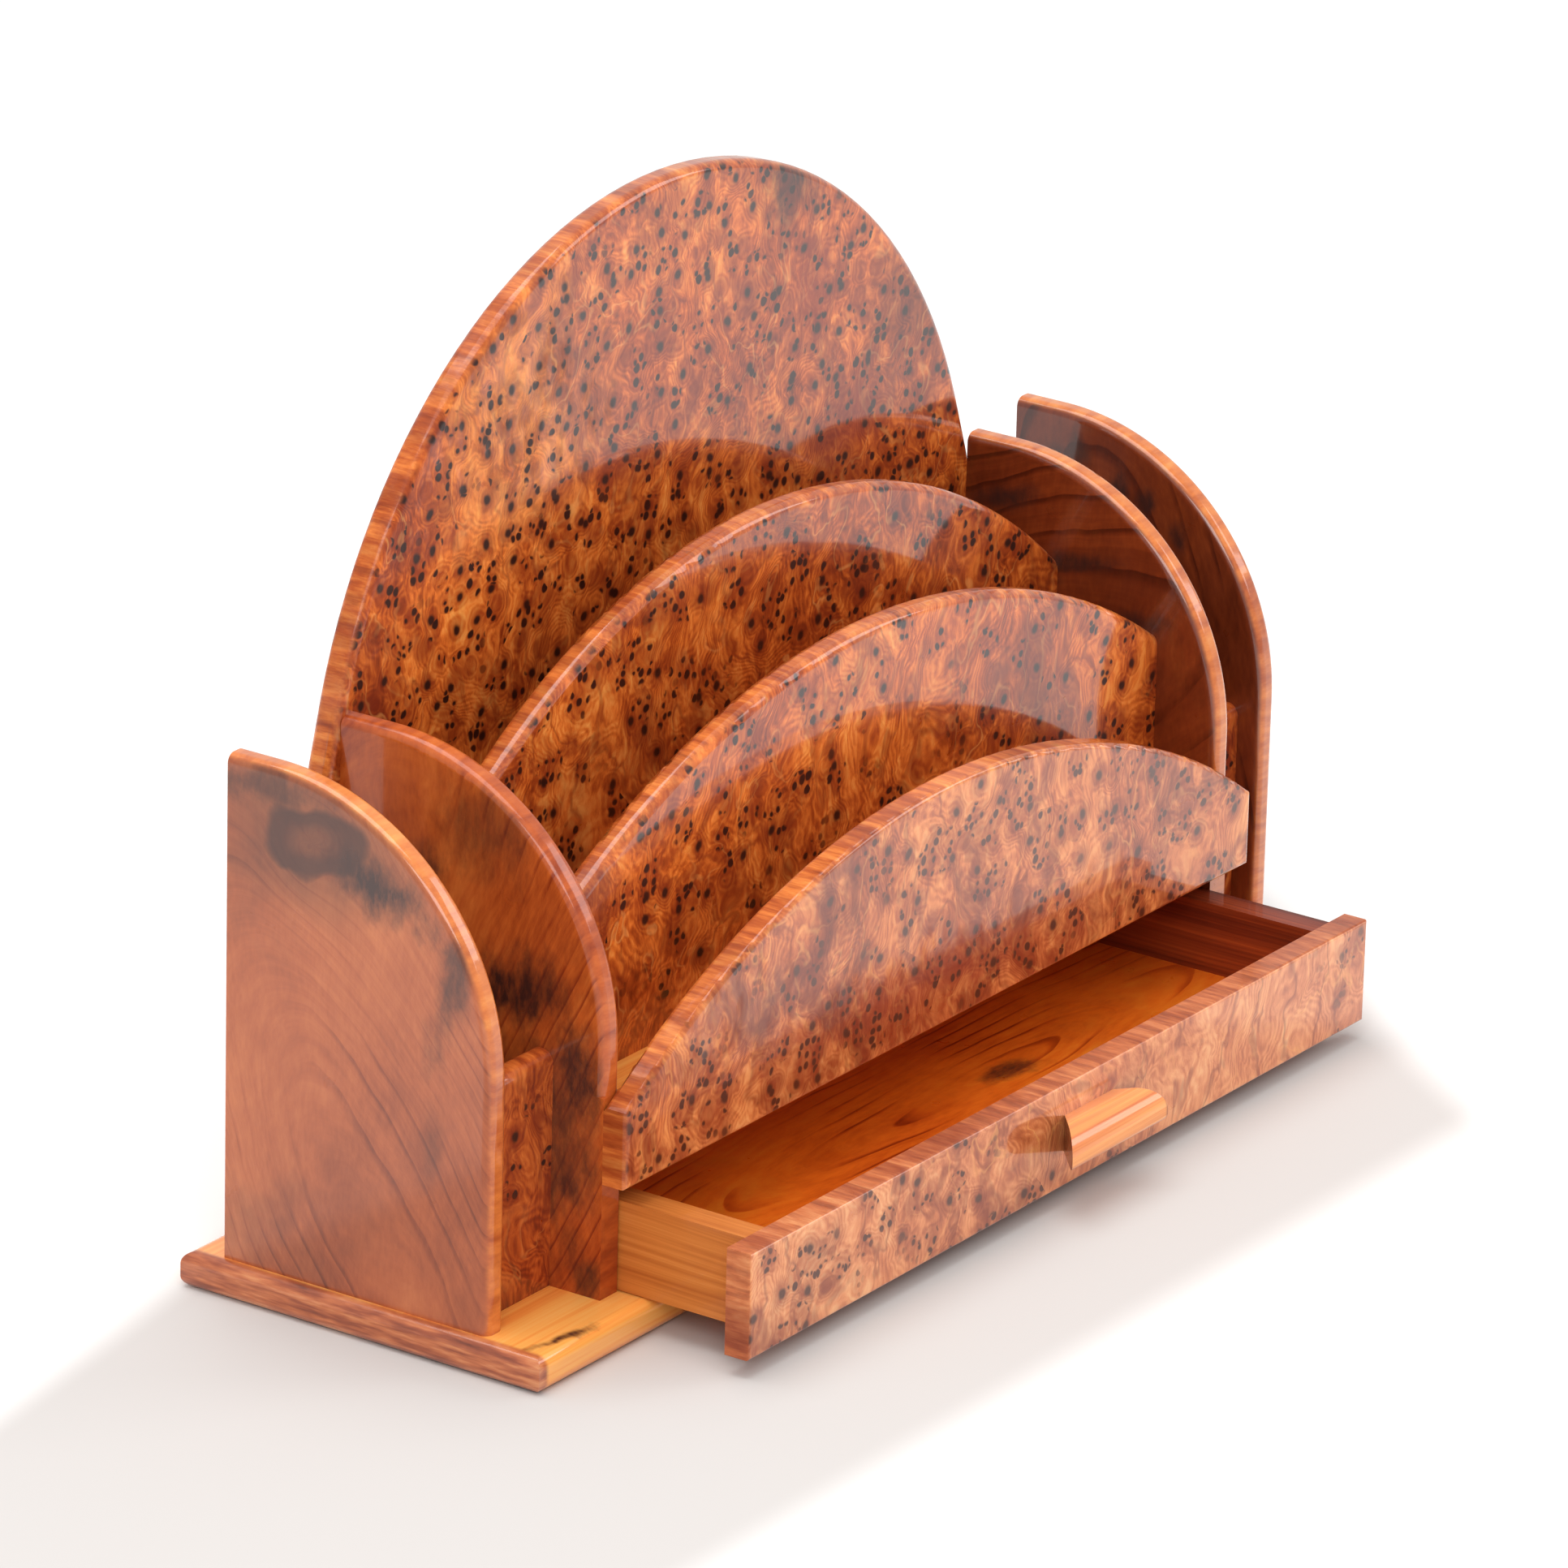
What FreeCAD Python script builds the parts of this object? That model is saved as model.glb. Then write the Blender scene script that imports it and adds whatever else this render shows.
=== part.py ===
import FreeCAD, Part
import math
import os

# Desk letter rack in burl wood: three letter slots, two pen wells and one shallow drawer.
# Millimetres. X is the width, +Y points to the back, +Z is up, and the drawer opens towards -Y.
# The origin is the centre of the base board's underside.

V = FreeCAD.Vector

# --- driving dimensions -------------------------------------------------------------------
PANEL = 6.5                    # thickness of the sides, dividers, shelf and front boards
BACK_PANEL = 7.0               # the tall back board is a little thicker
BASE_WIDTH = 327.0
BASE_DEPTH = 99.5
BASE_THICK = 8.5
BASE_ROUND = 2.8               # roundover along the base board's four edges
FRONT_MARGIN = 9.25            # base showing in front of the inner sides

RACK_WIDTH = 256.0             # over the outer faces of the two inner sides
RACK_DEPTH = 73.5              # inner side, from its front end to the back panel
WELL_WIDTH = 25.5              # clear width of a pen well
SIDE_ARCH = 62.0               # radius of the quarter arch on all four sides
INNER_TOP = 130.0              # height of the inner sides above the desk
OUTER_TOP = 129.0
OUTER_SETBACK = 7.5            # outer side's front edge, behind the inner side's
RIM_ROUND = 2.3                # roundover of a side's, divider's or back panel's rim

PEN_WALL_SETBACK = 13.9        # pen well's front wall, behind the inner side's front end
PEN_WALL_TOP = 65.0
PEN_WALL_ROUND = 3.0

LETTER_FRONT_BOTTOM = 36.5
LETTER_FRONT_SHOULDER = 55.0   # where the straight end meets the arch
LETTER_FRONT_TOP = 95.5
LETTER_FRONT_ROUND = 1.3
ROUND_STOP = 57.0              # the inner sides' roundover stops here, above the letter front

SHELF_TOP = 52.0
DIVIDER_ARCH = 219.0           # radius of the middle divider's arch
MIDDLE_SETBACK = 17.5          # middle divider's front face, behind the front ends
MIDDLE_TOP = 128.0
REAR_ARCH = 185.0
REAR_SETBACK = 46.5
REAR_TOP = 149.5

BACK_TOP = 225.5
BACK_CROWN = 129.0             # radius of the back panel's crown arc
CROWN_SHIFT = 4.0              # the crown stands a little left of the middle
BACK_FLANK = 800.0             # radius of its two long flanks

DRAWER_OPEN = 24.45            # how far the drawer stands open
DRAWER_GAP = 0.3               # below the drawer, and between its front and the base when shut
DRAWER_SIDE_GAP = 0.5
DRAWER_SIDE_THICK = 7.5
DRAWER_LENGTH = 80.0           # drawer sides, behind the drawer's front board
DRAWER_TOP = 30.4
DRAWER_LIP = 3.8               # how far the front board hangs below the base board's top
DRAWER_BOTTOM_THICK = 4.0
DRAWER_FRONT_ROUND = 0.8

PULL_OFFSET = 7.5              # the pull sits a little right of the drawer's middle
PULL_REACH = 9.0
PULL_BACK_WIDTH = 20.0
PULL_FRONT_WIDTH = 40.0
PULL_BOTTOM = 13.8
PULL_TOP = 22.6
PULL_NOSE = 6.0                # radius along the pull's upper front edge
PULL_LOWER_NOSE = 1.8          # and along its lower front edge

DOWEL_DIAMETER = 3.0
BASE_DOWEL_LENGTH = 16.0
BASE_DOWEL_DEPTH = 5.5         # how deep a dowel sits in the base board
DRAWER_DOWEL_LENGTH = 14.0
DRAWER_DOWEL_DEPTH = 4.5       # how deep a dowel sits in the drawer's front board
PULL_DOWEL_LENGTH = 10.0
PULL_DOWEL_DEPTH = 5.0
PULL_DOWEL_SPACING = 12.0

# --- places worked out from them ----------------------------------------------------------
BASE_FRONT_Y = -BASE_DEPTH / 2
FRONT_Y = BASE_FRONT_Y + FRONT_MARGIN              # front ends of the inner sides
BACK_Y = FRONT_Y + RACK_DEPTH                      # front face of the back panel
REAR_Y = BACK_Y + BACK_PANEL
OUTER_FRONT_Y = FRONT_Y + OUTER_SETBACK
INNER_FACE_X = RACK_WIDTH / 2 - PANEL              # the inner sides' facing surfaces
WELL_WALL_X = RACK_WIDTH / 2 + WELL_WIDTH          # inner face of an outer side
BACK_HALF_SPAN = WELL_WALL_X
DRAWER_BACK_OF_FRONT_Y = BASE_FRONT_Y - DRAWER_GAP - DRAWER_OPEN
DRAWER_FRONT_Y = DRAWER_BACK_OF_FRONT_Y - PANEL
DRAWER_HALF = INNER_FACE_X - DRAWER_SIDE_GAP
DRAWER_FLOOR_Z = BASE_THICK + DRAWER_GAP
DRAWER_END_Y = DRAWER_BACK_OF_FRONT_Y + DRAWER_LENGTH
MIRRORED = (("left", -1), ("right", 1))


def block(low, high):
    """Box from its lowest corner to its highest."""
    size = [h - l for l, h in zip(low, high)]
    return Part.makeBox(size[0], size[1], size[2], V(*low))


def prism(edges, direction):
    """Solid swept from a closed outline."""
    return Part.Face(Part.Wire(edges)).extrude(direction)


def line(a, b):
    return Part.LineSegment(a, b).toShape()


def arc(a, middle, b):
    return Part.Arc(a, middle, b).toShape()


def rounded(shape, radius, wanted):
    """Round the edges that the test picks by their bounding box."""
    edges = [e for e in shape.Edges if wanted(e.BoundBox)]
    return shape.makeFillet(radius, edges)


def dowel(x, y, z, length, direction):
    return Part.makeCylinder(DOWEL_DIAMETER / 2, length, V(x, y, z), direction)


def quarter_arch_side(inner_x, outward, front_y, back_y, top_z):
    """Upright side board: straight front edge that curves back into a level top."""
    spring_z = top_z - SIDE_ARCH
    bend = SIDE_ARCH * (1 - math.sqrt(0.5))
    x = inner_x
    edges = [
        line(V(x, back_y, BASE_THICK), V(x, front_y, BASE_THICK)),
        line(V(x, front_y, BASE_THICK), V(x, front_y, spring_z)),
        arc(V(x, front_y, spring_z), V(x, front_y + bend, top_z - bend), V(x, front_y + SIDE_ARCH, top_z)),
        line(V(x, front_y + SIDE_ARCH, top_z), V(x, back_y, top_z)),
        line(V(x, back_y, top_z), V(x, back_y, BASE_THICK)),
    ]
    return prism(edges, V(outward * PANEL, 0, 0))


def outer_side(sign):
    """Outer wall of a pen well, with its rim rounded from the foot of the front to the back."""
    side = quarter_arch_side(sign * WELL_WALL_X, sign, OUTER_FRONT_Y, REAR_Y, OUTER_TOP)

    def rim(b):
        along_rim = b.XLength < PANEL / 2
        return along_rim and b.ZMax > BASE_THICK + 1 and b.YMin < REAR_Y - 1

    return rounded(side, RIM_ROUND, rim)


def inner_side(sign):
    """Wall between the letter slots and a pen well; square where the letter front covers it."""
    side = quarter_arch_side(sign * INNER_FACE_X, sign, FRONT_Y, BACK_Y, INNER_TOP)
    reach = RACK_WIDTH
    lower = block((-reach, -reach, 0), (reach, reach, ROUND_STOP))
    foot = side.common(lower)

    def rim(b):
        along_rim = b.XLength < PANEL / 2
        return along_rim and b.ZMax > ROUND_STOP + 1 and b.YMin < BACK_Y - 1

    crest = rounded(side.cut(lower), RIM_ROUND, rim)
    return foot.fuse(crest).removeSplitter()


def arched_board(half_width, front_y, bottom_z, top_z, radius):
    """Upright board with straight ends and a shallow arch on top."""
    shoulder_z = top_z - radius + math.sqrt(radius ** 2 - half_width ** 2)
    y = front_y
    edges = [
        line(V(-half_width, y, bottom_z), V(half_width, y, bottom_z)),
        line(V(half_width, y, bottom_z), V(half_width, y, shoulder_z)),
        arc(V(half_width, y, shoulder_z), V(0, y, top_z), V(-half_width, y, shoulder_z)),
        line(V(-half_width, y, shoulder_z), V(-half_width, y, bottom_z)),
    ]
    return prism(edges, V(0, PANEL, 0))


def divider(setback, top_z, radius):
    """Board between two letter slots, standing on the shelf between the inner sides."""
    front_y = FRONT_Y + setback
    board = arched_board(INNER_FACE_X, front_y, SHELF_TOP, top_z, radius)
    return rounded(board, RIM_ROUND, lambda b: b.YLength < PANEL / 2 and b.ZMax > top_z - 1)


def letter_front():
    """Low front board that overlaps the front ends of both inner sides."""
    half = RACK_WIDTH / 2
    rise = LETTER_FRONT_TOP - LETTER_FRONT_SHOULDER
    radius = (half ** 2 + rise ** 2) / (2 * rise)
    front_y = FRONT_Y - PANEL
    board = arched_board(half, front_y, LETTER_FRONT_BOTTOM, LETTER_FRONT_TOP, radius)

    def exposed(b):
        on_front = b.YMax < front_y + 1
        on_arch = b.YLength < PANEL / 2 and b.ZMax > LETTER_FRONT_TOP - 1
        return on_front or on_arch

    return rounded(board, LETTER_FRONT_ROUND, exposed)


def back_panel():
    """Tall back board that also closes both pen wells: a crown arc carried by two long flanks."""
    crown = V(-CROWN_SHIFT, 0, BACK_TOP - BACK_CROWN)

    def flank_arc(side):
        """Flank from the foot up to where it runs smoothly into the crown."""
        foot = V(side * BACK_HALF_SPAN, 0, BASE_THICK)
        to_foot = foot - crown
        reach = BACK_FLANK - BACK_CROWN            # distance between the two arcs' centres
        cosine = (BACK_FLANK ** 2 - to_foot.Length ** 2 - reach ** 2) / (2 * reach * to_foot.Length)
        below = math.atan2(-to_foot.z, side * to_foot.x)
        joint_angle = math.acos(cosine) - below
        toward_joint = V(side * math.cos(joint_angle), 0, math.sin(joint_angle))
        centre = crown - toward_joint * reach
        joint = crown + toward_joint * BACK_CROWN
        halfway = (foot + joint) / 2 - centre
        waist = centre + halfway * (BACK_FLANK / halfway.Length)
        return [point + V(0, BACK_Y, 0) for point in (foot, waist, joint)]

    left_foot, left_waist, left_joint = flank_arc(-1)
    right_foot, right_waist, right_joint = flank_arc(1)
    edges = [
        line(left_foot, right_foot),
        arc(right_foot, right_waist, right_joint),
        arc(right_joint, crown + V(0, BACK_Y, BACK_CROWN), left_joint),
        arc(left_joint, left_waist, left_foot),
    ]
    board = prism(edges, V(0, BACK_PANEL, 0))
    return rounded(board, RIM_ROUND, lambda b: b.YLength < PANEL / 2 and b.ZMax > BASE_THICK + 1)


def base_board():
    """Base with a roundover on every edge; the roundovers meet in sharp corner lines."""
    half_x = BASE_WIDTH / 2
    half_y = BASE_DEPTH / 2
    plain = block((-half_x, -half_y, 0), (half_x, half_y, BASE_THICK))
    long_edges = rounded(plain, BASE_ROUND, lambda b: b.XLength > BASE_WIDTH / 2)
    short_edges = rounded(plain, BASE_ROUND, lambda b: b.YLength > BASE_DEPTH / 2)
    return long_edges.common(short_edges)


def pen_front_wall(sign):
    """Low wall that closes a pen well at the front, with a rounded top."""
    front_y = FRONT_Y + PEN_WALL_SETBACK
    ends = sorted((sign * RACK_WIDTH / 2, sign * WELL_WALL_X))
    wall = block((ends[0], front_y, BASE_THICK), (ends[1], front_y + PANEL, PEN_WALL_TOP))
    return rounded(wall, PEN_WALL_ROUND, lambda b: b.XLength > PANEL and b.ZMin > PEN_WALL_TOP - 1)


def shelf_board():
    """Floor of the letter slots, above the drawer."""
    low = (-INNER_FACE_X, FRONT_Y, SHELF_TOP - PANEL)
    return block(low, (INNER_FACE_X, BACK_Y, SHELF_TOP))


def drawer_front():
    half = RACK_WIDTH / 2
    low = (-half, DRAWER_FRONT_Y, BASE_THICK - DRAWER_LIP)
    board = block(low, (half, DRAWER_BACK_OF_FRONT_Y, DRAWER_TOP))
    return rounded(board, DRAWER_FRONT_ROUND, lambda b: b.YMax < DRAWER_FRONT_Y + 1)


def drawer_side(sign):
    ends = sorted((sign * DRAWER_HALF, sign * (DRAWER_HALF - DRAWER_SIDE_THICK)))
    low = (ends[0], DRAWER_BACK_OF_FRONT_Y, DRAWER_FLOOR_Z)
    return block(low, (ends[1], DRAWER_END_Y, DRAWER_TOP))


def drawer_back():
    half = DRAWER_HALF - DRAWER_SIDE_THICK
    return block((-half, DRAWER_END_Y - PANEL, DRAWER_FLOOR_Z), (half, DRAWER_END_Y, DRAWER_TOP))


def drawer_bottom():
    half = DRAWER_HALF - DRAWER_SIDE_THICK
    low = (-half, DRAWER_BACK_OF_FRONT_Y, DRAWER_FLOOR_Z)
    return block(low, (half, DRAWER_END_Y - PANEL, DRAWER_FLOOR_Z + DRAWER_BOTTOM_THICK))


def drawer_pull():
    """Grip with a rounded nose, wider at the front so that fingers hook behind its slanted ends."""
    nose_y = DRAWER_FRONT_Y - PULL_REACH

    def section(y, z):
        return V(PULL_OFFSET - PULL_FRONT_WIDTH / 2, y, z)

    def corner(z, inward, radius):
        """Rounded corner of the nose, from the upright stretch to the level one."""
        middle = radius * (1 - math.sqrt(0.5))
        return arc(section(nose_y, z + inward * radius),
                   section(nose_y + middle, z + inward * middle),
                   section(nose_y + radius, z))

    upper, lower = PULL_NOSE, PULL_LOWER_NOSE
    edges = [
        line(section(nose_y + lower, PULL_BOTTOM), section(DRAWER_FRONT_Y, PULL_BOTTOM)),
        line(section(DRAWER_FRONT_Y, PULL_BOTTOM), section(DRAWER_FRONT_Y, PULL_TOP)),
        line(section(DRAWER_FRONT_Y, PULL_TOP), section(nose_y + upper, PULL_TOP)),
        corner(PULL_TOP, -1, upper),
        line(section(nose_y, PULL_TOP - upper), section(nose_y, PULL_BOTTOM + lower)),
        corner(PULL_BOTTOM, 1, lower),
    ]
    bar = prism(edges, V(PULL_FRONT_WIDTH, 0, 0))

    def plan(side, width, y):
        return V(PULL_OFFSET + side * width / 2, y, PULL_BOTTOM)

    outline = [
        plan(-1, PULL_BACK_WIDTH, DRAWER_FRONT_Y),
        plan(-1, PULL_FRONT_WIDTH, nose_y),
        plan(1, PULL_FRONT_WIDTH, nose_y),
        plan(1, PULL_BACK_WIDTH, DRAWER_FRONT_Y),
    ]
    sides = [line(a, b) for a, b in zip(outline, outline[1:] + outline[:1])]
    return bar.common(prism(sides, V(0, 0, PULL_TOP - PULL_BOTTOM)))


def base_dowels():
    """Dowels that pin the sides and the back panel to the base board."""
    z = BASE_THICK - BASE_DOWEL_DEPTH
    quarter = RACK_DEPTH / 4
    inner_x = INNER_FACE_X + PANEL / 2
    outer_x = WELL_WALL_X + PANEL / 2
    places = [(s * x, y) for s in (-1, 1) for x in (inner_x, outer_x)
              for y in (FRONT_Y + quarter, BACK_Y - quarter)]
    back_y = BACK_Y + BACK_PANEL / 2
    places += [(x * RACK_WIDTH / 3, back_y) for x in (-1, 0, 1)]
    return [dowel(x, y, z, BASE_DOWEL_LENGTH, V(0, 0, 1)) for x, y in places]


def drawer_dowels():
    """Dowels from the drawer's front board into the ends of its sides."""
    y = DRAWER_BACK_OF_FRONT_Y - DRAWER_DOWEL_DEPTH
    x = DRAWER_HALF - DRAWER_SIDE_THICK / 2
    height = DRAWER_TOP - DRAWER_FLOOR_Z
    levels = [DRAWER_FLOOR_Z + height * part for part in (0.3, 0.7)]
    return [dowel(s * x, y, z, DRAWER_DOWEL_LENGTH, V(0, 1, 0)) for s in (-1, 1) for z in levels]


def pull_dowels():
    """Dowels that hold the pull to the drawer's front board."""
    y = DRAWER_FRONT_Y - PULL_DOWEL_DEPTH
    z = (PULL_BOTTOM + PULL_TOP) / 2 - 1
    places = [PULL_OFFSET + s * PULL_DOWEL_SPACING / 2 for s in (-1, 1)]
    return [dowel(x, y, z, PULL_DOWEL_LENGTH, V(0, 1, 0)) for x in places]


def bored(shape, pins):
    """The board with a hole for each dowel that enters it."""
    return shape.cut(pins)


def build():
    in_base = base_dowels()
    in_drawer = drawer_dowels()
    in_pull = pull_dowels()
    nodes = {
        "base_board": bored(base_board(), in_base),
        "back_panel": bored(back_panel(), in_base),
        "letter_front": letter_front(),
        "middle_divider": divider(MIDDLE_SETBACK, MIDDLE_TOP, DIVIDER_ARCH),
        "rear_divider": divider(REAR_SETBACK, REAR_TOP, REAR_ARCH),
        "shelf_board": shelf_board(),
        "base_dowels": Part.makeCompound(in_base),
        "drawer_front": bored(drawer_front(), in_drawer + in_pull),
        "drawer_back": drawer_back(),
        "drawer_bottom": drawer_bottom(),
        "drawer_dowels": Part.makeCompound(in_drawer),
        "drawer_pull": bored(drawer_pull(), in_pull),
        "pull_dowels": Part.makeCompound(in_pull),
    }
    for name, sign in MIRRORED:
        nodes[name + "_outer_side"] = bored(outer_side(sign), in_base)
        nodes[name + "_inner_side"] = bored(inner_side(sign), in_base)
        nodes[name + "_pen_front"] = pen_front_wall(sign)
        nodes["drawer_" + name + "_side"] = bored(drawer_side(sign), in_drawer)
    return nodes


os.makedirs("parts", exist_ok=True)
for node, shape in build().items():
    shape.exportStep("parts/" + node + ".step")
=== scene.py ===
import math

import bpy
from mathutils import Matrix, Vector


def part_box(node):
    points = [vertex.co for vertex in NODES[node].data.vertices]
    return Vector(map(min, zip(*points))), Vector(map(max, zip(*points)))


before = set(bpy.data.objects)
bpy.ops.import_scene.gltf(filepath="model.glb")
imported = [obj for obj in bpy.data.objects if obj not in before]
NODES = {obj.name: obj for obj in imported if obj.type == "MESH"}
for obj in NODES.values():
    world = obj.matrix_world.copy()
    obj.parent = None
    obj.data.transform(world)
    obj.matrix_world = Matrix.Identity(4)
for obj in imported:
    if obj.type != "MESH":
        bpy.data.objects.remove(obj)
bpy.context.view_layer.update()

MM = 0.001

# The two axes that a board lies in, then the axis through its thickness.
UPRIGHT = ("X", "Z", "Y")
SIDEWAYS = ("Y", "Z", "X")
LEVEL = ("X", "Y", "Z")
FORE_AND_AFT = ("Y", "X", "Z")
DOWEL_GRAIN = ("Z", "X", "Y")

# Each board's seed moves its noise by this much along each axis.
SEED_STEP = (0.37, 0.53, 0.71)

# The clear film of lacquer, and the relief of the wood and of the film.
FILM_ROUGHNESS = 0.06
FILM_IOR = 1.52
BARE_SHEEN = 0.2
PORE_DEPTH = 0.3 * MM
PORE_STRENGTH = 0.05
RIPPLE_DEPTH = 1.0 * MM
RIPPLE_STRENGTH = 0.035

# How far a board's narrow edges take the colour of edge grain, and the pitch of straight grain.
RIM_TINT = 0.85
GRAIN_SCALE = 190.0

# Angles in degrees, places in metres, lens and sensor in millimetres.
CAMERA_AZIMUTH = -55.71
CAMERA_ELEVATION = 20.72
CAMERA_ROLL = 1.49
CAMERA_AIM = (-0.0012, 0, 0.0842)
CAMERA_DISTANCE = 2.4906
CAMERA_LENS = 247.65
SENSOR_WIDTH = 36.0
CLIP_END = 50.0

# Each soft light's name, place, aim, size in metres, and power in watts.
SOFT_LIGHTS = (
    ("top", (-0.2, 0.1, 1.5), (0, 0, 0.1), (1.4, 1.0), 14),
    ("left", (-1.4, -0.9, 1.1), (0, 0, 0.08), (0.9, 0.7), 9),
    ("right", (1.2, -1.1, 0.9), (0, 0, 0.08), (0.8, 0.8), 6),
)
SKY_STRENGTH = 0.75

FLOOR_HALF = 6.0
FLOOR_COLOUR = (0.93, 0.92, 0.905)
# Colour of the shadow painted on the floor in front of the rack.
PAINTED_SHADOW_COLOUR = (0.623, 0.595, 0.575)
# Each edge of the painted shadow, a darker and warmer zone on the floor: its level direction, then where it
# fades in and is full.
PAINTED_SHADOW_EDGES = (
    ((0, 1), -143 * MM, -121 * MM),
    ((-0.16, 0.99), 85 * MM, 69 * MM),
    ((0.82, -0.58), 170 * MM, 150 * MM),
)


class Wood:
    """A material graph that ends in a lacquered wood shader."""

    def __init__(self, name, plane, seed):
        self.material = bpy.data.materials.new(name)
        self.material.use_nodes = True
        self.tree = self.material.node_tree
        self.tree.nodes.clear()
        self.seed = seed
        self.through = plane[2]
        self.place = self.board_place(plane)

    def add(self, kind, inputs=None, out=0, **settings):
        """Add a node, set its inputs by name or number, and return one of its outputs."""
        node = self.tree.nodes.new(kind)
        for key, value in settings.items():
            setattr(node, key, value)
        for key, value in (inputs or {}).items():
            socket = node.inputs[key]
            if isinstance(value, bpy.types.NodeSocket):
                self.tree.links.new(value, socket)
            else:
                socket.default_value = value
        return node.outputs[out]

    def board_place(self, plane):
        """The point on the board as (along, up, through), in metres."""
        point = self.add("ShaderNodeTexCoord", out="Object")
        axes = self.add("ShaderNodeSeparateXYZ", {0: point}).node.outputs
        parts = {i: axes[axis] for i, axis in enumerate(plane)}
        return self.add("ShaderNodeCombineXYZ", parts)

    def math(self, operation, a, b=0.0):
        """One sum on numbers, such as SUBTRACT or MAXIMUM."""
        return self.add("ShaderNodeMath", {0: a, 1: b}, operation=operation)

    def product(self, first, *others):
        """All the signals multiplied together."""
        for other in others:
            first = self.math("MULTIPLY", first, other)
        return first

    def total(self, *parts):
        """Weighted sum of signals, each given as (value, weight)."""
        result = 0.0
        for value, weight in parts:
            result = self.add("ShaderNodeMath", {0: value, 1: weight, 2: result}, operation="MULTIPLY_ADD")
        return result

    def vector_math(self, operation, a, b, out=0):
        return self.add("ShaderNodeVectorMath", {0: a, 1: b}, operation=operation, out=out)

    def reach(self, vector, factors=(1, 1, 0)):
        """The vector's length, with its parts weighted."""
        weighted = self.vector_math("MULTIPLY", vector, factors)
        return self.add("ShaderNodeVectorMath", {0: weighted}, out="Value", operation="LENGTH")

    def scaled(self, vector, factors, shift=(0, 0, 0)):
        """The point scaled, and moved by a shift and by the seed."""
        seeded = [s + self.seed * step for s, step in zip(shift, SEED_STEP)]
        values = {"Vector": vector, "Scale": factors, "Location": seeded}
        return self.add("ShaderNodeMapping", values)

    def noise(self, vector, scale, detail=3.0, roughness=0.5, out="Fac"):
        values = {"Vector": vector, "Scale": scale, "Detail": detail, "Roughness": roughness}
        return self.add("ShaderNodeTexNoise", values, out=out)

    def cells(self, vector, scale):
        """Distance to the nearest cell centre, in cells, and the cell's random colour."""
        values = {"Vector": vector, "Scale": scale, "Randomness": 0.95}
        distance = self.add("ShaderNodeTexVoronoi", values, voronoi_dimensions="2D")
        return distance, distance.node.outputs["Color"]

    def fade(self, value, low, high, to_low=0.0, to_high=1.0):
        """Smooth step from low to high."""
        values = {"Value": value, "From Min": low, "From Max": high, "To Min": to_low, "To Max": to_high}
        return self.add("ShaderNodeMapRange", values, interpolation_type="SMOOTHSTEP")

    def ridge(self, value, middle, width):
        """1 where the value is at the middle, 0 from the width away."""
        return self.fade(self.math("ABSOLUTE", self.math("SUBTRACT", value, middle)), width, 0.0)

    def ramp(self, value, palette):
        """Colour from a palette's tones, spread over the middle of the value's range."""
        node = self.add("ShaderNodeValToRGB", {"Fac": value}).node
        elements = node.color_ramp.elements
        while len(elements) < len(palette):
            elements.new(0.5)
        for element, position, colour in zip(elements, TONE_STOPS, palette):
            element.position = position
            element.color = (*colour, 1.0)
        return node.outputs["Color"]

    def mix(self, amount, a, b):
        """From colour a to colour b, by the amount."""
        node = self.tree.nodes.new("ShaderNodeMix")
        node.data_type = "RGBA"
        for key, value in (("Factor_Float", amount), ("A_Color", a), ("B_Color", b)):
            socket = next(s for s in node.inputs if s.identifier == key)
            if isinstance(value, bpy.types.NodeSocket):
                self.tree.links.new(value, socket)
            elif key == "Factor_Float":
                socket.default_value = value
            else:
                socket.default_value = (*value, 1.0)
        return next(s for s in node.outputs if s.identifier == "Result_Color")

    def warped(self, vector, scale, amount):
        """The point pushed about by smooth noise, by up to half the amount each way."""
        push = self.noise(self.scaled(vector, (1, 1, 1), (3, 5, 7)), scale, 2.0, out="Color")
        centred = self.vector_math("SUBTRACT", push, (0.5, 0.5, 0.5))
        values = {0: centred, 1: (amount, amount, amount), 2: vector}
        return self.add("ShaderNodeVectorMath", values, operation="MULTIPLY_ADD")

    def spot(self, centre, size, turn):
        """How deep a point lies in a soft patch of the board: 1 at its centre, 0 outside."""
        loose = self.warped(self.place, 30.0, 14 * MM)
        loose = self.warped(loose, 110.0, 4 * MM)
        values = {"Vector": loose, "Location": (*centre, 0), "Scale": (*size, 1), "Rotation": (0, 0, turn)}
        local = self.add("ShaderNodeMapping", values, vector_type="TEXTURE")
        ragged = self.noise(self.scaled(self.place, (1, 0.5, 1), (3, 1, 6)), 120.0, 5.0, 0.68)
        distance = self.total((self.reach(local), 1.0), (ragged, 1.7))
        return self.fade(distance, 1.85, 0.95)

    def patches(self, marks):
        """How deep a point lies in any of some soft patches, given as centre, size, turn and strength."""
        deepest = 0.0
        for centre, size, turn, strength in marks:
            deepest = self.math("MAXIMUM", deepest, self.product(self.spot(centre, size, turn), strength))
        streaks = self.noise(self.scaled(self.place, (1, 0.3, 1), (6, 6, 2)), 620.0, 4.0, 0.65)
        return self.product(deepest, self.fade(streaks, 0.30, 0.65, 0.82, 1.15))

    def tinted(self, colour, marks, tint, amount=1.0):
        """The colour with some soft patches tinted, by up to the amount."""
        if not marks:
            return colour
        return self.mix(self.product(self.patches(marks), amount), colour, tint)

    def turned_to(self, axis):
        """How squarely the surface faces along an axis, either way: 0 to 1."""
        normal = self.add("ShaderNodeNewGeometry", out="Normal")
        return self.math("ABSOLUTE", self.add("ShaderNodeSeparateXYZ", {0: normal}, out=axis))

    def rim(self):
        """1 on the board's narrow edges, 0 on its two faces."""
        return self.fade(self.turned_to(self.through), 0.93, 0.5)

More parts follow.
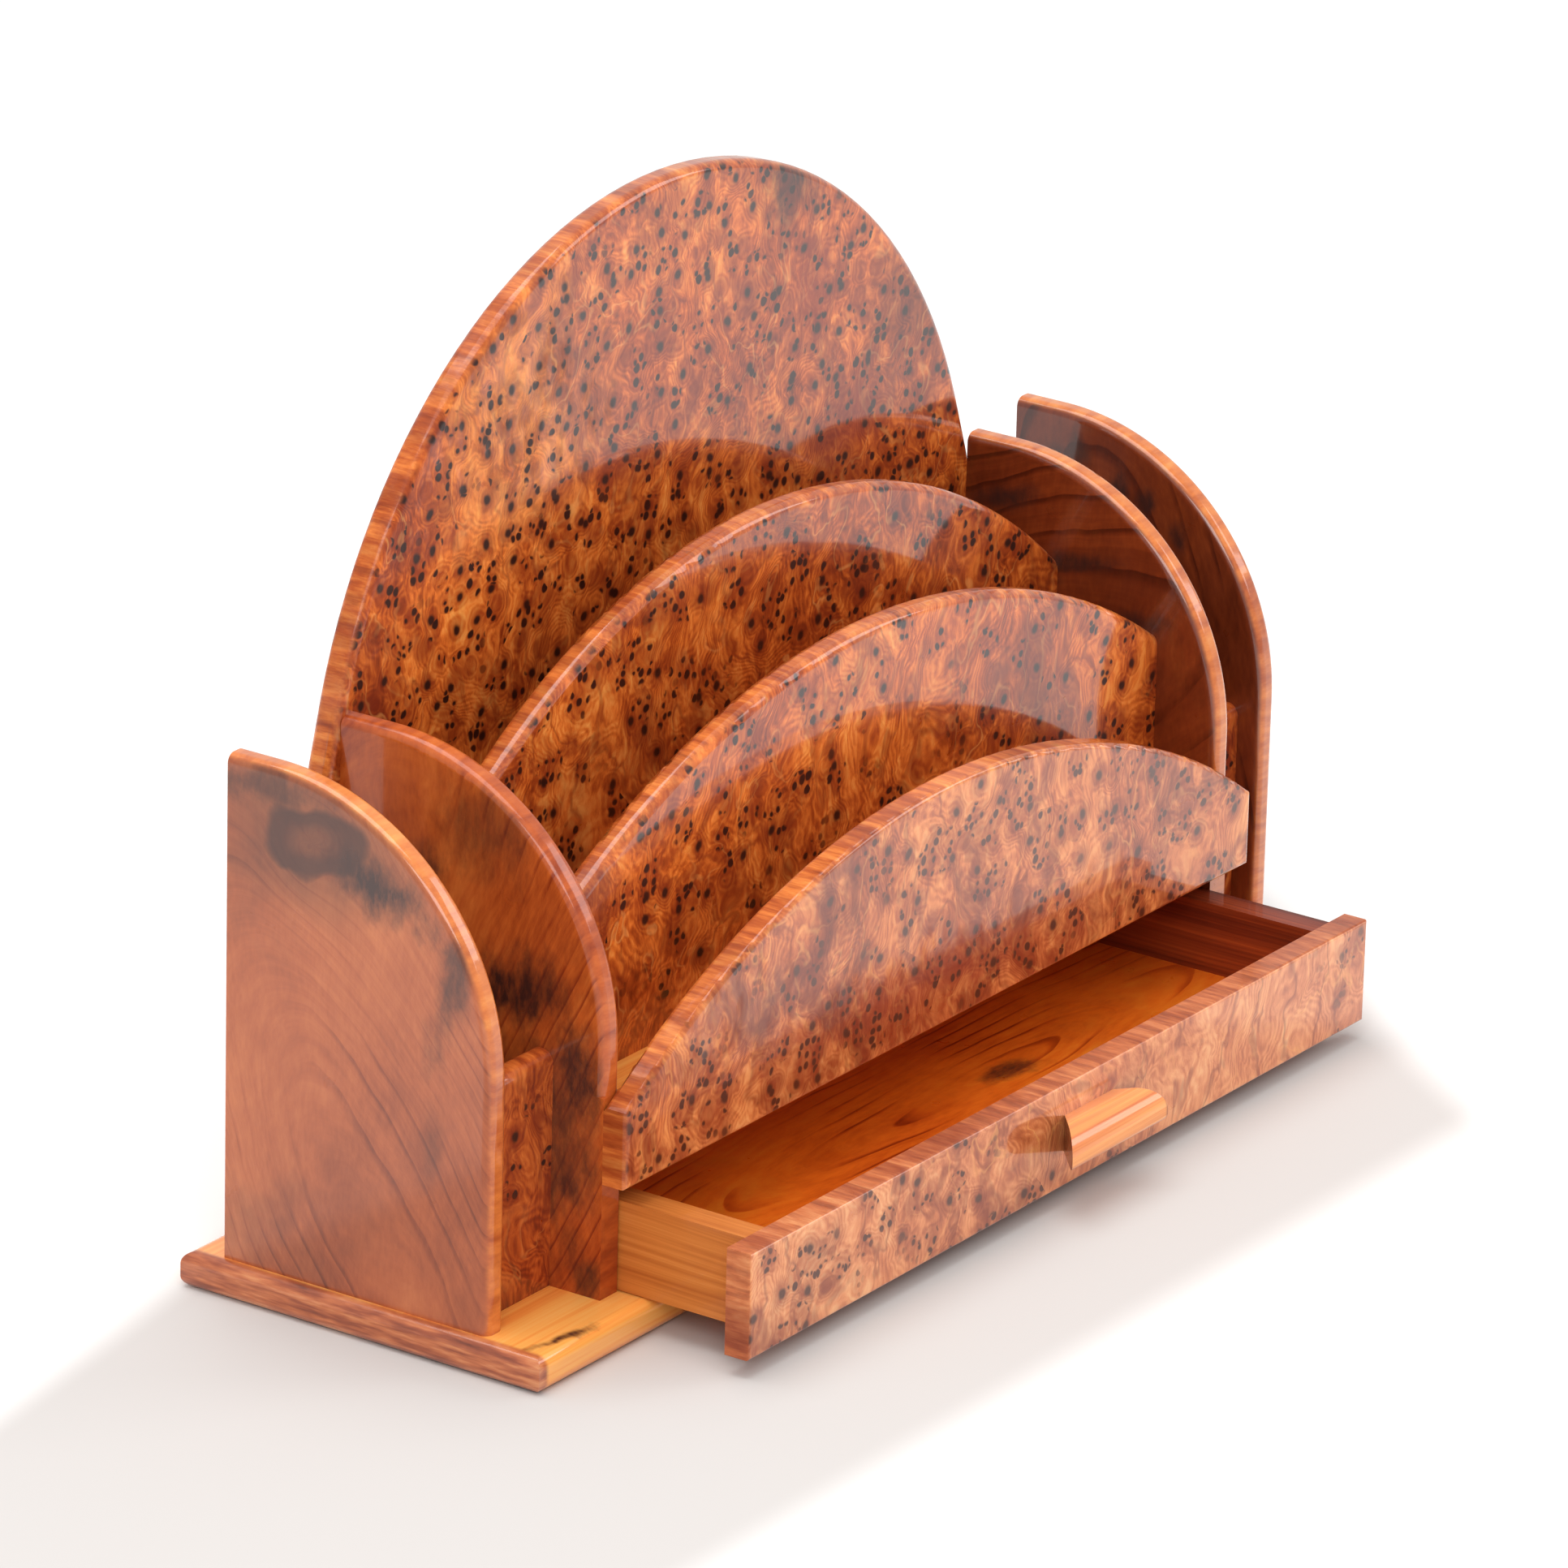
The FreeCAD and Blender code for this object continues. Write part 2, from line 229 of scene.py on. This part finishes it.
    def across(self, place, scale, roughness):
        """Streaks that run through the board, as its narrow edges show them."""
        bent = self.scaled(self.warped(place, 60.0, 5 * MM), (1, 1, 0.6), (8, 3, 1))
        return self.noise(bent, scale, 4.0, roughness)

    def relief(self, height, strength, depth):
        """Surface direction as bent by a height signal."""
        return self.add("ShaderNodeBump", {"Height": height, "Strength": strength, "Distance": depth})

    def finish(self, colour, height, lacquer, roughness=0.32):
        """End in wood under a clear lacquer; height drives the bump of pores and grain."""
        rough = self.noise(self.scaled(self.place, (1, 1, 1), (9, 1, 4)), 90.0, 3.0)
        rough = self.fade(rough, 0.2, 0.8, roughness - 0.06, roughness + 0.08)
        bump = self.relief(height, PORE_STRENGTH, PORE_DEPTH)
        ripple = self.noise(self.scaled(self.place, (1, 1, 1), (2, 8, 5)), 55.0, 1.0)
        film = self.relief(ripple, RIPPLE_STRENGTH, RIPPLE_DEPTH)
        values = {
            "Base Color": colour, "Roughness": rough, "Specular IOR Level": BARE_SHEEN, "Normal": bump,
            "Coat Weight": lacquer, "Coat Roughness": FILM_ROUGHNESS, "Coat IOR": FILM_IOR,
            "Coat Normal": film,
        }
        shader = self.add("ShaderNodeBsdfPrincipled", values)
        output = self.tree.nodes.new("ShaderNodeOutputMaterial")
        self.tree.links.new(shader, output.inputs["Surface"])
        return self.material


# A palette runs from the darkest to the lightest tone of a board, placed at these steps of its figure.
TONE_STOPS = (0.24, 0.42, 0.56, 0.74)
AMBER = ((0.17, 0.021, 0.004), (0.47, 0.080, 0.011), (0.76, 0.180, 0.026), (0.94, 0.36, 0.075))
ROSY = ((0.36, 0.080, 0.028), (0.61, 0.175, 0.060), (0.79, 0.29, 0.11), (0.91, 0.45, 0.20))
APRICOT = ((0.27, 0.052, 0.015), (0.55, 0.132, 0.036), (0.775, 0.25, 0.070), (0.915, 0.41, 0.140))
RUSSET = ((0.09, 0.012, 0.004), (0.27, 0.036, 0.007), (0.50, 0.095, 0.015), (0.72, 0.19, 0.035))
MAROON = ((0.05, 0.007, 0.003), (0.16, 0.020, 0.005), (0.33, 0.052, 0.010), (0.54, 0.12, 0.022))
DUSK = ((0.035, 0.006, 0.003), (0.085, 0.013, 0.004), (0.17, 0.028, 0.007), (0.31, 0.060, 0.013))
HEART = ((0.10, 0.020, 0.008), (0.27, 0.055, 0.017), (0.43, 0.100, 0.030), (0.60, 0.175, 0.055))
HONEY = ((0.40, 0.075, 0.014), (0.70, 0.175, 0.034), (0.90, 0.33, 0.080), (0.97, 0.50, 0.16))
STRAW = ((0.72, 0.17, 0.027), (0.91, 0.28, 0.046), (0.98, 0.42, 0.088), (1.0, 0.55, 0.155))
GLOW = ((0.30, 0.030, 0.003), (0.62, 0.085, 0.006), (0.86, 0.155, 0.010), (0.97, 0.28, 0.022))
TAN = ((0.28, 0.060, 0.010), (0.44, 0.115, 0.018), (0.60, 0.19, 0.035), (0.78, 0.32, 0.08))
COPPER = ((0.20, 0.030, 0.007), (0.46, 0.090, 0.016), (0.72, 0.20, 0.038), (0.90, 0.37, 0.09))
PALE = ((0.50, 0.26, 0.11), (0.64, 0.38, 0.17), (0.76, 0.50, 0.25), (0.86, 0.64, 0.38))
DRIED = ((0.15, 0.03, 0.012), (0.34, 0.075, 0.026), (0.54, 0.15, 0.05), (0.72, 0.30, 0.12))

# Tints laid over a palette: the eyes, their stained surroundings, smoke and painted shade, redder or golden
# wood, and a painted red reflection.
INK = (0.028, 0.008, 0.005)
FADED_INK = (0.085, 0.020, 0.008)
CLOUD = (0.17, 0.026, 0.009)
HALO = (0.20, 0.022, 0.006)
# Smoke in the wood, and painted shade where its spots darken shaded places on the drawer floor and the inner
# left side.
SMOKE_AND_SHADE = (0.045, 0.014, 0.010)
# Redder wood, and on the letter front a painted reflection of the drawer inside.
BLOOD = (0.24, 0.018, 0.005)
BRIGHT = (0.98, 0.46, 0.13)


def spots_mm(*rows):
    """Soft patches from rows in mm: along, up, half width, half height, turn in radians, strength."""
    return tuple(((u * MM, v * MM), (a * MM, b * MM), turn, strength) for u, v, a, b, turn, strength in rows)


def eyes(wood, place, group_pitch, group_reach, eye_pitch, crowding):
    """Burl eyes, alone and in groups: the dark eyes, and the stained wood round them."""
    soft = wood.warped(place, 150.0, 2.0 * MM)
    small, small_random = wood.cells(soft, 1 / eye_pitch)
    group, group_random = wood.cells(wood.warped(place, 60.0, 5 * MM), 1 / group_pitch)
    uneven = wood.noise(place, 130.0, 3.0, 0.6)
    group = wood.math("SUBTRACT", wood.total((group, 1.0), (uneven, 0.7)), 0.35)
    lone, lone_random = wood.cells(wood.scaled(soft, (1, 1, 1), (7, 2, 5)), 0.9 / group_pitch)
    crowd = wood.fade(wood.noise(place, 17.0, 2.0), 0.58 - 0.30 * crowding, 0.66 - 0.30 * crowding)

    random = wood.add("ShaderNodeSeparateColor", {0: small_random}).node.outputs
    size = wood.fade(random["Green"], 0.0, 1.0, 0.22, 0.43)
    kept = wood.fade(random["Red"], 0.20, 0.26)
    picked = wood.fade(wood.add("ShaderNodeSeparateColor", {0: group_random}), 0.08, 0.15)
    near = wood.product(wood.fade(group, group_reach, group_reach * 0.75), picked, kept)
    grouped = wood.product(near, wood.fade(wood.math("SUBTRACT", size, small), -0.05, 0.12))

    lone_reach = 1.25 * MM / group_pitch
    single = wood.fade(wood.add("ShaderNodeSeparateColor", {0: lone_random}), 0.25, 0.32)
    single = wood.product(single, wood.fade(lone, lone_reach * 1.25, lone_reach * 0.5))
    eye = wood.product(wood.math("MAXIMUM", grouped, single), crowd)

    round_group = wood.product(wood.fade(group, group_reach * 1.6, group_reach * 0.3), picked, 0.8)
    round_eye = wood.product(near, wood.fade(small, 0.75, 0.25))
    round_lone = wood.fade(lone, lone_reach * 3.6, lone_reach)
    halo = wood.math("MAXIMUM", round_group, wood.math("MAXIMUM", round_eye, round_lone))
    return eye, wood.product(halo, crowd)


def burl(name, seed, palette, group_pitch=8.5 * MM, group_reach=0.38, eye_pitch=3.1 * MM, crowding=1.15,
         smoke=0.35, ink=INK, smoke_and_shade=(), reddish=(), golden=(), thin=(), edge=COPPER, matte_edge=False):
    """Upright board of burl, with swirling flame figure, dark eyes and patches of smoke."""
    wood = Wood(name, UPRIGHT, seed)
    place = wood.scaled(wood.place, (1, 1, 0.3))
    swirl = wood.warped(place, 24.0, 30 * MM)
    curl = wood.warped(swirl, 90.0, 8 * MM)
    eye, halo = eyes(wood, place, group_pitch, group_reach, eye_pitch, crowding)

    field = wood.noise(wood.scaled(curl, (1, 0.62, 1)), 34.0, 1.0)
    rings = wood.math("SINE", wood.product(wood.total((field, 1.0), (halo, 0.05)), 230.0))
    fine = wood.noise(wood.scaled(curl, (1, 0.20, 1), (4, 4, 4)), 620.0, 3.0, 0.65)
    flame = wood.noise(wood.scaled(curl, (1, 0.55, 1), (6, 2, 8)), 120.0, 5.0, 0.66)
    broad = wood.noise(wood.scaled(swirl, (1, 0.8, 1), (1, 9, 3)), 17.0, 3.0, 0.55)
    tone = wood.total((flame, 0.70), (broad, 0.45), (rings, 0.05), (fine, 0.46), (halo, -0.05))
    colour = wood.ramp(wood.math("SUBTRACT", tone, 0.305), palette)

    dark_field = wood.noise(wood.scaled(curl, (1, 0.5, 1), (2, 6, 1)), 50.0, 3.0, 0.55)
    colour = wood.mix(wood.product(wood.ridge(dark_field, 0.5, 0.035), 0.5), colour, HALO)
    light_field = wood.noise(wood.scaled(curl, (1, 0.6, 1), (9, 3, 2)), 80.0, 2.0, 0.5)
    light_vein = wood.product(wood.ridge(light_field, 0.47, 0.022), wood.fade(broad, 0.60, 0.36, 0.0, 0.34))
    colour = wood.mix(light_vein, colour, BRIGHT)

    colour = wood.tinted(colour, golden, BRIGHT, wood.fade(flame, 0.30, 0.62, 0.12, 0.62))
    # Redder patches of wood; on the letter front a painted reflection of the drawer inside.
    colour = wood.tinted(colour, reddish, BLOOD, wood.fade(flame, 0.85, 0.50))
    cloud = wood.noise(wood.scaled(curl, (1, 0.7, 1), (3, 3, 3)), 34.0, 5.0, 0.62)
    colour = wood.mix(wood.fade(cloud, 0.52, 0.70, 0.0, smoke), colour, CLOUD)
    colour = wood.tinted(colour, smoke_and_shade, SMOKE_AND_SHADE)
    colour = wood.mix(wood.product(halo, 0.48), colour, HALO)
    colour = wood.mix(eye, colour, ink)

    hatch = wood.noise(wood.scaled(place, (1, 1, 0.2), (5, 9, 2)), 900.0, 3.0, 0.7)
    edge_tone = wood.total((flame, 0.4), (wood.across(place, 330.0, 0.65), 0.8), (broad, 0.2), (hatch, 0.4))
    edge_colour = wood.ramp(wood.math("SUBTRACT", edge_tone, 0.41), edge)
    edge_colour = wood.mix(wood.product(halo, 0.4), edge_colour, HALO)
    rim = wood.rim()
    colour = wood.mix(wood.product(rim, RIM_TINT), colour, edge_colour)
    lacquer = 1.0
    if thin:
        lacquer = wood.fade(wood.patches(thin), 0.0, 1.0, 1.0, 0.12)
    if matte_edge:
        lacquer = wood.fade(rim, 0.0, 1.0, 1.0, 0.25)
    return wood.finish(colour, wood.total((fine, 0.4), (eye, -0.6)), lacquer=lacquer)


def bent_round(wood, place, knots):
    """The point drawn in towards each knot, so that a figure flows round it."""
    for centre, size in knots:
        away = wood.vector_math("SUBTRACT", place, (*centre, 0))
        flat = wood.vector_math("MULTIPLY", away, (1, 1, 0))
        pull = wood.fade(wood.reach(away), 3.2 * size, 0.0, 0.0, -size)
        outward = wood.add("ShaderNodeVectorMath", {0: flat}, operation="NORMALIZE")
        shift = wood.add("ShaderNodeVectorMath", {0: outward, "Scale": pull}, operation="SCALE")
        place = wood.vector_math("ADD", place, shift)
    return place


def growth_rings(wood, centre, stretch, turn, pitch, knots):
    """Nested arches round a centre on the board: late-wood lines, and the fine grain beside them."""
    flowing = bent_round(wood, wood.warped(wood.place, 15.0, 7 * MM), knots)
    values = {"Vector": flowing, "Location": (*centre, 0), "Scale": (*stretch, 1), "Rotation": (0, 0, turn)}
    local = wood.add("ShaderNodeMapping", values, vector_type="TEXTURE")
    radius = wood.reach(local, (1, 1, 0.3 / stretch[0]))
    wobble = wood.noise(wood.scaled(wood.place, (1, 0.6, 1)), 26.0, 3.0)
    phase = wood.total((radius, pitch), (wobble, 1.1))
    part = wood.math("FRACT", phase)
    line = wood.product(wood.fade(part, 0.74, 0.95), wood.fade(part, 1.0, 0.96))
    strength = wood.fade(wood.noise(wood.scaled(wood.place, (1, 1, 1), (5, 5, 5)), 22.0, 2.0), 0.3, 0.62)
    axes = wood.add("ShaderNodeSeparateXYZ", {0: wood.place}).node.outputs
    nested = {"X": wood.product(phase, 2.4), "Y": wood.product(axes["Y"], 60.0)}
    grain = wood.noise(wood.add("ShaderNodeCombineXYZ", nested), 1.0, 4.0, 0.7)
    return wood.product(line, strength), grain


def knot_shade(wood, centre, size):
    """A knot's dark ring, its paler heart and its stained surroundings."""
    loose = wood.warped(wood.warped(wood.place, 45.0, 1.3 * size), 160.0, 0.35 * size)
    distance = wood.reach(wood.vector_math("SUBTRACT", loose, (*centre, 0)), (0.6, 1, 0))
    ring = wood.product(wood.fade(distance, 0.2 * size, 0.7 * size, 0.78, 1.0),
                        wood.fade(distance, 1.25 * size, 0.85 * size))
    stained = wood.fade(distance, 2.6 * size, 0.8 * size, 0.0, 0.55)
    return wood.math("MAXIMUM", ring, stained)


def cathedral(name, plane, seed, palette, centre, stretch, turn, pitch=3.0, smoke=0.4, contrast=1.0,
              lacquer=1.0, smoke_and_shade=(), knots=(), edge=COPPER):
    """Heartwood whose growth rings show as nested arches, with dark knots, and dark spots of smoke and of
    painted shade.
    """
    wood = Wood(name, plane, seed)
    place = wood.scaled(wood.place, (1, 1, 0.4))
    bent = wood.warped(place, 15.0, 18 * MM)
    late, grain = growth_rings(wood, centre, stretch, turn, pitch, knots)
    fine = wood.noise(wood.scaled(bent, (1, 0.25, 1), (4, 4, 4)), 900.0, 3.0, 0.6)
    broad = wood.noise(wood.scaled(bent, (1, 0.6, 1), (1, 9, 3)), 19.0, 5.0, 0.6)
    tone = wood.total((broad, 0.66), (grain, 0.30), (fine, 0.14), (late, -0.20 * contrast))
    colour = wood.ramp(tone, palette)
    cloud = wood.fade(wood.noise(bent, 14.0, 5.0, 0.65), 0.54, 0.74, 0.0, smoke)
    colour = wood.mix(cloud, colour, SMOKE_AND_SHADE)
    # Dark spots: smoke in the wood, and on the drawer floor and the inner left side also painted shade.
    colour = wood.tinted(colour, smoke_and_shade, SMOKE_AND_SHADE)
    for knot_centre, knot_size in knots:
        colour = wood.mix(wood.product(knot_shade(wood, knot_centre, knot_size), 0.9), colour, SMOKE_AND_SHADE)
    edge_tone = wood.total((broad, 0.6), (wood.across(place, 300.0, 0.6), 0.5))
    edge_colour = wood.ramp(wood.math("SUBTRACT", edge_tone, 0.02), edge)
    colour = wood.mix(wood.product(wood.rim(), RIM_TINT), colour, edge_colour)
    return wood.finish(colour, fine, lacquer=lacquer)


def straight(name, plane, seed, palette, lacquer=1.0, roughness=0.34, streaks=(), end_at=None,
             end_palette=DRIED):
    """Board with straight grain along its first axis, and darker end grain beyond end_at."""
    wood = Wood(name, plane, seed)
    bent = wood.warped(wood.scaled(wood.place, (0.35, 1, 1)), 16.0, 7 * MM)
    lines = wood.noise(wood.scaled(bent, (0.06, 1, 1)), GRAIN_SCALE, 4.0, 0.6)
    fine = wood.noise(wood.scaled(bent, (0.03, 1, 1), (4, 4, 4)), GRAIN_SCALE * 5, 3.0, 0.6)
    broad = wood.noise(wood.scaled(bent, (0.4, 1, 1), (1, 9, 3)), 30.0, 3.0, 0.5)
    tone = wood.total((lines, 0.55), (broad, 0.32), (fine, 0.40))
    colour = wood.ramp(wood.math("SUBTRACT", tone, 0.135), palette)
    colour = wood.tinted(colour, streaks, SMOKE_AND_SHADE)
    if end_at:
        along = wood.add("ShaderNodeSeparateXYZ", {0: wood.place})
        ends = wood.fade(wood.math("ABSOLUTE", along), end_at - 1.2 * MM, end_at + 0.6 * MM)
        ends = wood.math("MAXIMUM", ends, wood.fade(wood.turned_to(plane[0]), 0.4, 0.6))
        layers = wood.noise(wood.scaled(wood.place, (0.2, 0.10, 1), (2, 2, 2)), 620.0, 3.0, 0.6)
        colour = wood.mix(ends, colour, wood.ramp(layers, end_palette))
    return wood.finish(colour, fine, lacquer=lacquer, roughness=roughness)


def dress(material, *names):
    """Give a material to the named nodes."""
    for name in names:
        for slot in NODES[name].material_slots:
            slot.material = material


def dress_burl_boards():
    dress(burl("burl_back", 1, AMBER, group_reach=0.42,
               smoke_and_shade=spots_mm((44, 213, 21, 13, 0, 1.0), (92, 172, 20, 26, 0.5, 0.4),
                              (-121, 82, 12, 26, 0, 0.55)),
               reddish=spots_mm((52, 184, 13, 24, 0.2, 0.55), (72, 148, 24, 14, 0.3, 0.55)),
               golden=spots_mm((-62, 180, 46, 42, 0, 0.6)),
               thin=spots_mm((-88, 150, 76, 98, 0, 1.0))), "back_panel")
    dress(burl("burl_rear", 2, AMBER, 12 * MM, 0.42, 3.0 * MM, crowding=0.9, smoke=0.5), "rear_divider")
    dress(burl("burl_middle", 3, AMBER, 12 * MM, 0.36, 3.0 * MM, crowding=0.65, smoke=0.6), "middle_divider")
    dress(burl("burl_letter", 4, APRICOT, 11 * MM, 0.40, 2.7 * MM, crowding=0.85, smoke=0.9, ink=FADED_INK,
               # The red band along the lower letter front is a painted reflection of the drawer inside.
               reddish=spots_mm((-10, 47, 112, 15, 0, 0.5)),
               thin=spots_mm((-110, 40, 62, 62, 0, 0.8), (-10, 47, 112, 17, 0, 0.9))), "letter_front")
    dress(burl("burl_drawer", 5, ROSY, 10 * MM, 0.36, 2.5 * MM, crowding=0.42, smoke=0.35, ink=FADED_INK,
               edge=DRIED, matte_edge=True), "drawer_front")
    dress(burl("burl_well", 10, RUSSET, 12 * MM, 0.26, 2.6 * MM, crowding=0.2, edge=RUSSET),
          "left_pen_front", "right_pen_front")


def dress_sides():
    smears = spots_mm((-3, 107, 21, 9, 0.45, 0.9), (-23, 90, 8, 24, 0.35, 0.75),
                      (30, 123, 24, 8, 0, 0.7), (-17, 50, 5, 12, 0.2, 0.35))
    knot = ((16 * MM, 114 * MM), 9 * MM)
    dress(cathedral("side_left", SIDEWAYS, 6, HEART, (-6 * MM, 19 * MM), (9 * MM, 26 * MM), -0.55,
                    pitch=4.2, contrast=0.65, smoke_and_shade=smears, knots=(knot,)), "left_outer_side")
    dot_places = ((30, 118), (22, 121), (12, 113), (3, 112), (-8, 104))
    dots = spots_mm(*((y, z, 4.5, 7, 0, 0.9) for y, z in dot_places))
    dress(cathedral("side_right", SIDEWAYS, 7, DUSK, (0, 20 * MM), (12 * MM, 45 * MM), -0.2, smoke_and_shade=dots),
          "right_outer_side")
    # Dark spots on the inner left side: the lower ones, centred up to 60 mm high, are painted shade low in
    # the pen well; the higher ones are smoke in the wood.
    smoke_and_painted_shade = spots_mm((9, 100, 6, 9, 0, 0.8), (-17, 78, 17, 14, 0, 0.9), (-34, 60, 10, 20, 0, 0.85),
                     (-30, 34, 9, 12, 0, 0.8), (-36, 13, 8, 9, 0, 0.8), (-8, 112, 17, 18, 0, 0.55),
                     (12, 60, 40, 28, 0, 0.65), (-28, 45, 18, 44, 0, 0.75))
    dress(cathedral("inner_left", SIDEWAYS, 8, RUSSET, (44 * MM, 70 * MM), (10 * MM, 34 * MM), 0.5,
                    smoke=0.6, contrast=0.7, lacquer=0.6, smoke_and_shade=smoke_and_painted_shade, edge=RUSSET), "left_inner_side")
    band_places = ((22, 117), (2, 104), (16, 95), (-14, 92))
    bands = spots_mm(*((y, z, 17, 4, -0.25, 0.9) for y, z in band_places))
    dress(cathedral("inner_right", SIDEWAYS, 9, DUSK, (20 * MM, 70 * MM), (16 * MM, 40 * MM), 1.1,
                    smoke=0.3, smoke_and_shade=bands), "right_inner_side")


def dress_base_and_drawer():
    base_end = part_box("base_board")[1].x - 2.8 * MM
    dress(straight("base", LEVEL, 11, STRAW, streaks=spots_mm((-150, -46, 14, 2, -0.1, 0.9)),
                   end_at=base_end), "base_board")
    dress(straight("shelf", LEVEL, 12, STRAW, lacquer=0.6), "shelf_board")
    # Dark spots on the drawer floor: the larger, at the far left, is painted shade under the rack with a
    # knot in it; the smaller, at the back, is a knot.
    knots = spots_mm((-54, -92, 12, 26, 0.2, 0.8), (-45, 34, 5, 14, 0, 0.8))
    dress(cathedral("drawer_floor", FORE_AND_AFT, 13, GLOW, (-40 * MM, 20 * MM), (12 * MM, 90 * MM), 0.0,
                    smoke=0.2, contrast=1.5, smoke_and_shade=knots), "drawer_bottom")
    satin = {"lacquer": 0.3, "roughness": 0.5}
    dress(straight("drawer_left", SIDEWAYS, 14, TAN, **satin), "drawer_left_side")
    dress(straight("drawer_right", SIDEWAYS, 15, MAROON, **satin), "drawer_right_side")
    dress(straight("drawer_rear", UPRIGHT, 16, MAROON, **satin), "drawer_back")
    pull_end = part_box("drawer_pull")[1].x
    dress(straight("pull", UPRIGHT, 17, HONEY, end_at=pull_end, end_palette=DUSK), "drawer_pull")
    dress(straight("dowel", DOWEL_GRAIN, 18, PALE, lacquer=0.0, roughness=0.6),
          "base_dowels", "drawer_dowels", "pull_dowels")


def floor_card():
    """Matt pale card, with a soft-edged painted shadow, a darker and warmer zone, in front of the rack."""
    card = Wood("floor", LEVEL, 0)
    edges = []
    for direction, start, end in PAINTED_SHADOW_EDGES:
        along = card.vector_math("DOT_PRODUCT", card.place, (*direction, 0), out="Value")
        edges.append(card.fade(along, start, end))
    # Painted shadow: inside its edges the floor takes the darker shadow colour.
    tint = card.mix(card.product(*edges), FLOOR_COLOUR, PAINTED_SHADOW_COLOUR)
    shader = card.add("ShaderNodeBsdfDiffuse", {"Color": tint})
    output = card.tree.nodes.new("ShaderNodeOutputMaterial")
    card.tree.links.new(shader, output.inputs["Surface"])
    return card.material


def floor():
    """Level floor, which is staging and no piece of the part."""
    corners = [(x * FLOOR_HALF, y * FLOOR_HALF, 0) for x, y in ((-1, -1), (1, -1), (1, 1), (-1, 1))]
    mesh = bpy.data.meshes.new("floor")
    mesh.from_pydata(corners, [], [(0, 1, 2, 3)])
    obj = bpy.data.objects.new("floor", mesh)
    bpy.context.scene.collection.objects.link(obj)
    mesh.materials.append(floor_card())


def soft_light(name, place, aim, size, power):
    """Rectangular area light, turned towards its aim."""
    data = bpy.data.lights.new(name, "AREA")
    data.shape = "RECTANGLE"
    data.size, data.size_y = size
    data.energy = power
    obj = bpy.data.objects.new(name, data)
    obj.location = place
    obj.rotation_mode = "QUATERNION"
    obj.rotation_quaternion = (Vector(aim) - Vector(place)).to_track_quat("-Z", "Y")
    bpy.context.scene.collection.objects.link(obj)


def lights():
    """White surroundings and three soft lights."""
    world = bpy.data.worlds.new("studio")
    world.use_nodes = True
    sky = world.node_tree.nodes["Background"]
    sky.inputs["Color"].default_value = (1, 1, 1, 1)
    sky.inputs["Strength"].default_value = SKY_STRENGTH
    bpy.context.scene.world = world
    for row in SOFT_LIGHTS:
        soft_light(*row)


def camera():
    """Long lens, seen from the front left and a little above, with the frame tipped slightly."""
    azimuth, elevation, roll = (math.radians(a) for a in (CAMERA_AZIMUTH, CAMERA_ELEVATION, CAMERA_ROLL))
    back = Vector((math.sin(azimuth) * math.cos(elevation), -math.cos(azimuth) * math.cos(elevation),
                   math.sin(elevation)))
    data = bpy.data.cameras.new("camera")
    data.lens = CAMERA_LENS
    data.sensor_width = SENSOR_WIDTH
    data.clip_end = CLIP_END
    obj = bpy.data.objects.new("camera", data)
    obj.rotation_mode = "QUATERNION"
    obj.location = Vector(CAMERA_AIM) + back * CAMERA_DISTANCE
    level = (-back).to_track_quat("-Z", "Y")
    obj.rotation_quaternion = level @ Matrix.Rotation(roll, 3, "Z").to_quaternion()
    bpy.context.scene.collection.objects.link(obj)
    bpy.context.scene.camera = obj


dress_burl_boards()
dress_sides()
dress_base_and_drawer()
floor()
lights()
camera()
bpy.context.scene.view_settings.view_transform = "Standard"
